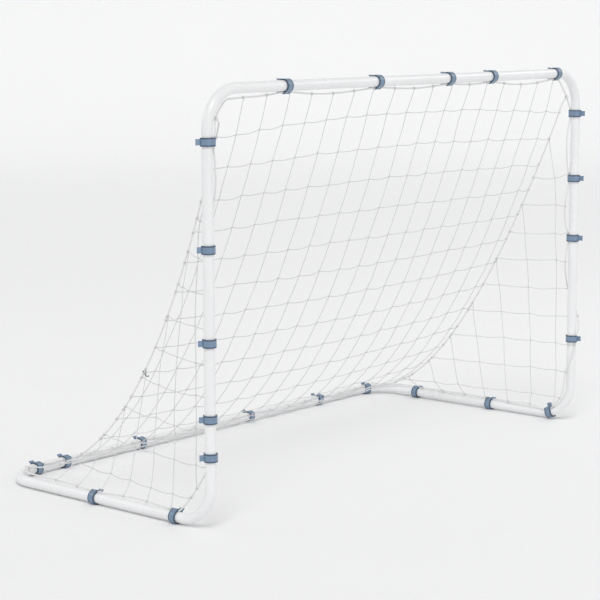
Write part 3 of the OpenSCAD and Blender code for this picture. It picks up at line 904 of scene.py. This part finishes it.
def make_back_net(material):
    _, net = settings()
    maker = NetMaker(11)
    route = border_route()
    shares = even_shares(net.first_row, net.pitch)
    columns = [net.pitch * k for k in range(-8, 9)]
    knots = {}
    for r, v in enumerate(shares):
        down = unit(back_point(0, min(1, v + 0.01)) - back_point(0, max(0, v - 0.01)))
        for c, x in enumerate(columns):
            knots[r, c] = maker.uneven(back_point(x, v), X, down)
            maker.knot(knots[r, c], down)
    for r, v in enumerate(shares):
        ends = []
        for side, c in ((-1, 0), (1, len(columns) - 1)):
            ends.append(maker.tie(seam_point(side, v), seam_tangent(side, v), knots[r, c],
                                  maker.on_seam))
        maker.twine([knots[r, c] for c in range(len(columns))], *ends)
    over = clip_places("clips_crossbar", 0)
    under = clip_places("clips_rear_bar", 0)
    for c, x in enumerate(columns):
        top = crossings(route, 0, clear_of(x, over), lambda p: p[2] > TOP_Z - 0.06)[0]
        foot = crossings(route, 0, clear_of(x, under), lambda p: p[1] > DEPTH - 0.06)[0]
        start = maker.tie(*top, knots[0, c], maker.on_border)
        end = maker.tie(*foot, knots[len(shares) - 1, c], maker.on_border)
        maker.twine([knots[r, c] for r in range(len(shares))], start, end)
    return maker.weaver.mesh("net_back_twine", material)


def side_surface(side, y, z):
    """The side net's surface at a depth and a height: it bows in towards its seam."""
    v = seam_share(seam_z, z)
    share = min(1, max(0, y / seam_y(v)))
    return np.array([side * (HALF_W - (HALF_W - seam_x(v)) * share ** SIDE_BOW), y, z])


def make_side_net(side, name, material):
    _, net = settings()
    maker = NetMaker(23 if side < 0 else 37)
    route = border_route()
    post, bar = ("clips_post_left", "clips_side_left")
    if side > 0:
        post, bar = ("clips_post_right", "clips_side_right")
    near_side = lambda p: p[0] * side > HALF_W - 0.07 and p[1] < SEAM_BACK
    heights = [SIDE_ROW + net.pitch * k for k in range(11)]
    depths = [SIDE_COLUMN + net.pitch * k for k in range(8)]
    knots = {}
    for r, z in enumerate(heights):
        for c, y in enumerate(depths):
            if y < seam_y(seam_share(seam_z, z)) - 0.02:
                knots[r, c] = maker.uneven(side_surface(side, y, z), Y, Z)
    front = {}
    for r, z in enumerate(heights):
        found = crossings(route, 2, clear_of(z, clip_places(post, 2)),
                          lambda p: near_side(p) and p[1] < 0.16)
        front[r] = min(found, key=lambda f: f[0][1])
    foot = {}
    for c, y in enumerate(depths):
        found = crossings(route, 1, clear_of(y, clip_places(bar, 1)),
                          lambda p: near_side(p) and p[2] < 0.25)
        foot[c] = min(found, key=lambda f: f[0][2])
    for r, c in list(knots):
        if knots[r, c][1] < front[r][0][1] + 0.01 or knots[r, c][2] < foot[c][0][2] + 0.01:
            del knots[r, c]
    for place in knots.values():
        maker.knot(place, Y)
    centre = np.array([side * HALF_W, 0, 0])
    for r, z in enumerate(heights):
        row = [knots[r, c] for c in range(len(depths)) if (r, c) in knots]
        if not row:
            continue
        v = seam_share(seam_z, z)
        back = maker.tie(seam_point(side, v), seam_tangent(side, v), row[-1], maker.on_seam)
        way = round_tube(row[0], front[r][0], centre, TUBE_R + net.twine * 0.6)
        start = maker.tie(*front[r], way[-1] if way else row[0], maker.on_border)
        maker.twine(way[::-1] + row, start, back)
    for c, y in enumerate(depths):
        column = [knots[r, c] for r in range(len(heights)) if (r, c) in knots]
        if not column:
            continue
        v = seam_share(seam_y, y)
        top = maker.tie(seam_point(side, v), seam_tangent(side, v), column[-1], maker.on_seam)
        start = maker.tie(*foot[c], column[0], maker.on_border)
        maker.twine(column, start, top)
    return maker.weaver.mesh(name, material)


# Name, place, and size across and upright of each softbox
SOFTBOXES = [
    ("softbox_front", (-1.9, -5.2, 1.5), (0.7, 3.2)),
    ("softbox_right", (4.2, -1.8, 3.4), (3.0, 0.9)),
    ("softbox_rear", (-3.4, 4.4, 3.2), (3.0, 0.9)),
]


# ---- Operators ----

class GOAL_OT_camera(bpy.types.Operator):
    """Add the camera"""

    bl_idname = "goal.camera"
    bl_label = "Camera"

    def execute(self, context):
        stage = context.scene.goal_stage
        data = bpy.data.cameras.new("camera")
        data.lens = stage.lens
        data.sensor_width = 36
        camera = bpy.data.objects.new("camera", data)
        context.scene.collection.objects.link(camera)
        upright = math.pi / 2 - stage.tilt
        camera.matrix_world = (
            Matrix.Translation(stage.place)
            @ Matrix.Rotation(-stage.heading, 4, "Z")
            @ Matrix.Rotation(upright, 4, "X")
            @ Matrix.Rotation(stage.roll, 4, "Z")
        )
        context.scene.camera = camera
        return {"FINISHED"}


class GOAL_OT_border_cord(bpy.types.Operator):
    """Make the cord that the clips hold round the whole frame"""

    bl_idname = "goal.border_cord"
    bl_label = "Border cord"

    def execute(self, context):
        cords, _ = settings()
        material = braided_cord(context.scene.goal_finishes.cord, cords.border)
        weaver = Weaver()
        weaver.tube(border_route(), cords.border / 2, 12, closed=True)
        cord = weaver.mesh("border_cord_braid", material)
        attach(cord, "root")
        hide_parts("border_cord")
        return {"FINISHED"}


class GOAL_OT_seam_cords(bpy.types.Operator):
    """Make the two cords along which the back and side nets meet"""

    bl_idname = "goal.seam_cords"
    bl_label = "Seam cords"

    def execute(self, context):
        cords, _ = settings()
        material = bpy.data.materials["braided cord"]
        route = border_route()
        for side, name in ((-1, "seam_cord_left"), (1, "seam_cord_right")):
            weaver = Weaver()
            weaver.tube(seam_line(side, route), cords.seam / 2, 10)
            cord = weaver.mesh(name + "_braid", material)
            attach(cord, "root")
            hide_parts(name)
        return {"FINISHED"}


class GOAL_OT_nets(bpy.types.Operator):
    """Knot the back net and the two side nets"""

    bl_idname = "goal.nets"
    bl_label = "Nets"

    def execute(self, context):
        _, net = settings()
        material = twisted_twine(context.scene.goal_finishes.net, net.twine)
        panels = {
            "net_back": make_back_net(material),
            "net_side_left": make_side_net(-1, "net_side_left_twine", material),
            "net_side_right": make_side_net(1, "net_side_right_twine", material),
        }
        for node, panel in panels.items():
            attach(panel, "root")
            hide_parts(node)
        return {"FINISHED"}


class GOAL_OT_tubes(bpy.types.Operator):
    """Powder-coat the tubes and corners"""

    bl_idname = "goal.tubes"
    bl_label = "Tubes"

    def execute(self, context):
        coat = powder_coat(context.scene.goal_finishes.frame)
        for node in frame["nodes"]:
            if node.startswith(("crossbar", "corner", "post", "side_bar", "rear_bar")):
                coat_node(node, coat)
        return {"FINISHED"}


class GOAL_OT_clips(bpy.types.Operator):
    """Give the net clips their moulded plastic"""

    bl_idname = "goal.clips"
    bl_label = "Net clips"

    def execute(self, context):
        finishes = context.scene.goal_finishes
        for node in CLIPPED:
            # Each clip material darkens its band ends with painted shade
            coat_node(node, clip_plastic(finishes.clip, finishes.rim_shade, clip_spots(node),
                                         node.replace("_", " ")))
        return {"FINISHED"}


class GOAL_OT_fasteners(bpy.types.Operator):
    """Finish the snap buttons, their leaf springs and the S-hook"""

    bl_idname = "goal.fasteners"
    bl_label = "Buttons, springs and hook"

    def execute(self, context):
        finishes = context.scene.goal_finishes
        plating = plated_steel(finishes.button)
        strip = spring_strip(finishes.spring)
        for node in frame["nodes"]:
            if node.startswith("button_"):
                coat_node(node, plating)
            if node.startswith("spring_"):
                coat_node(node, strip)
        coat_node("s_hook", coated_wire(finishes.hook))
        return {"FINISHED"}


class GOAL_OT_stage(bpy.types.Operator):
    """Add the paper floor, which sweeps up all round, and the lights"""

    bl_idname = "goal.stage"
    bl_label = "Stage"

    def execute(self, context):
        stage = context.scene.goal_stage
        self.add_paper(stage)
        self.add_key(stage)
        for name, place, size in SOFTBOXES:
            self.add_softbox(stage, name, place, size)
        world = bpy.data.worlds.new("even light")
        world.use_nodes = True
        sky = world.node_tree.nodes["Background"]
        sky.inputs["Color"].default_value = (1, 1, 1, 1)
        sky.inputs["Strength"].default_value = stage.sky
        context.scene.world = world
        context.scene.view_settings.view_transform = "Standard"
        return {"FINISHED"}

    def add_paper(self, stage):
        """A round floor that curves up at its outside, ring by ring, into a low wall."""
        flat, bend, wall = 13, 4, 3
        bpy.ops.object.select_all(action="DESELECT")
        bpy.ops.mesh.primitive_circle_add(vertices=96, radius=flat, fill_type="NGON")
        floor = bpy.context.object
        floor.name = "studio_floor"
        bpy.ops.object.mode_set(mode="EDIT")
        bpy.ops.mesh.select_mode(type="EDGE")
        bpy.ops.mesh.select_all(action="SELECT")
        steps = 10
        for k in range(steps):
            low, high = (math.pi / 2 * (k + share) / steps for share in (0, 1))
            grown = ((flat + bend * math.sin(high)) / (flat + bend * math.sin(low)))
            bpy.ops.mesh.extrude_edges_move()
            bpy.ops.transform.resize(value=(grown, grown, 1))
            bpy.ops.transform.translate(value=(0, 0, bend * (math.cos(low) - math.cos(high))))
        bpy.ops.mesh.extrude_edges_move()
        bpy.ops.transform.translate(value=(0, 0, wall))
        bpy.ops.object.mode_set(mode="OBJECT")
        bpy.ops.object.shade_smooth_by_angle(angle=math.radians(40))
        floor.data.materials.append(studio_paper(stage.floor))

    def add_key(self, stage):
        """A distant soft light from the front left."""
        data = bpy.data.lights.new("key", "SUN")
        data.energy = stage.key
        data.angle = stage.softness
        key = bpy.data.objects.new("key", data)
        bpy.context.scene.collection.objects.link(key)
        key.rotation_euler = Vector((0.52, 0.42, -0.86)).to_track_quat("-Z", "Y").to_euler()


    def add_softbox(self, stage, name, place, size):
        """A softbox that faces the goal, for the streaks on the clips and tubes."""
        data = bpy.data.lights.new(name, "AREA")
        data.shape = "RECTANGLE"
        data.size, data.size_y = size
        data.energy = stage.boxes
        box = bpy.data.objects.new(name, data)
        bpy.context.scene.collection.objects.link(box)
        box.location = place
        facing = Vector((0, 0.4, 0.5)) - Vector(place)
        box.rotation_euler = facing.to_track_quat("-Z", "Y").to_euler()


class GOAL_PT_panel(bpy.types.Panel):
    """The goal's sizes, colours and pieces"""

    bl_idname = "GOAL_PT_panel"
    bl_label = "Portable goal"
    bl_space_type = "VIEW_3D"
    bl_region_type = "UI"
    bl_category = "Goal"

    def draw(self, context):
        for group in GROUPS:
            box = self.layout.box()
            box.label(text=group.__doc__)
            values = getattr(context.scene, GROUPS[group])
            for name in group.__annotations__:
                box.prop(values, name)
        for operator in OPERATORS:
            self.layout.operator(operator.bl_idname)


GROUPS = {
    GoalCords: "goal_cords",
    GoalNet: "goal_net",
    GoalFinishes: "goal_finishes",
    GoalStage: "goal_stage",
}
OPERATORS = [
    GOAL_OT_camera, GOAL_OT_border_cord, GOAL_OT_seam_cords, GOAL_OT_nets,
    GOAL_OT_tubes, GOAL_OT_clips, GOAL_OT_fasteners, GOAL_OT_stage,
]


def register():
    for made in (*GROUPS, *OPERATORS, GOAL_PT_panel):
        bpy.utils.register_class(made)
    for group, name in GROUPS.items():
        setattr(bpy.types.Scene, name, PointerProperty(type=group))


def unregister():
    for name in GROUPS.values():
        delattr(bpy.types.Scene, name)
    for made in (GOAL_PT_panel, *reversed(OPERATORS), *reversed(list(GROUPS))):
        bpy.utils.unregister_class(made)


def main():
    register()
    bpy.ops.goal.camera()
    bpy.ops.goal.border_cord()
    bpy.ops.goal.seam_cords()
    bpy.ops.goal.nets()
    bpy.ops.goal.tubes()
    bpy.ops.goal.clips()
    bpy.ops.goal.fasteners()
    bpy.ops.goal.stage()


if __name__ == "__main__":
    main()
